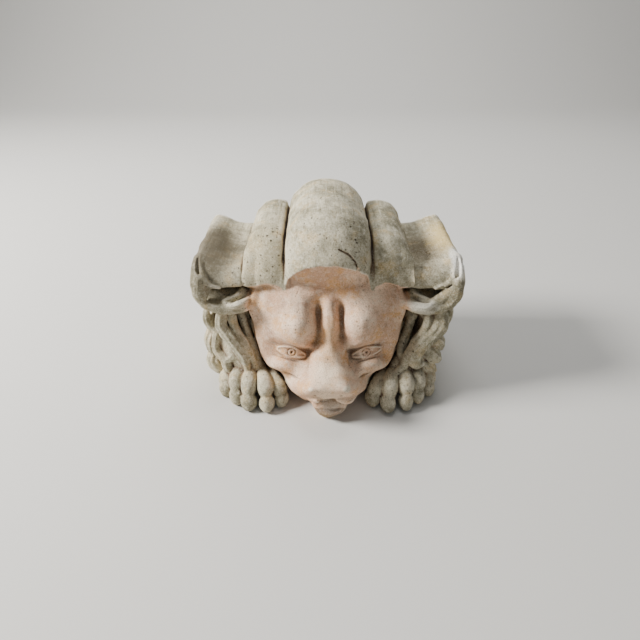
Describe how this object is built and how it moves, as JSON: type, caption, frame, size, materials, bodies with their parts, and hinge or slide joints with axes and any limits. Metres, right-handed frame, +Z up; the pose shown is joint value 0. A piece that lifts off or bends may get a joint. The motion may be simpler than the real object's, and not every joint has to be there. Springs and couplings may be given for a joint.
{
  "type": "gargoyle head",
  "caption": "Small cast-stone lion gargoyle head: a ribbed moulded hood over a lion's face that rests on its chin between two paws, flat behind and below.",
  "frame": {"origin": "on the ground plane, below the middle of the bounding box in X and Y", "axes": "+X to the right of the face as the viewer sees it, -Y the way the face looks, +Z up"},
  "size_m": [0.1996, 0.1494, 0.139],
  "materials": {
    "cast_stone": "matt, weathered"
  },
  "bodies": {
    "root": {"gargoyle_head": "cast_stone"}
  },
  "joints": []
}
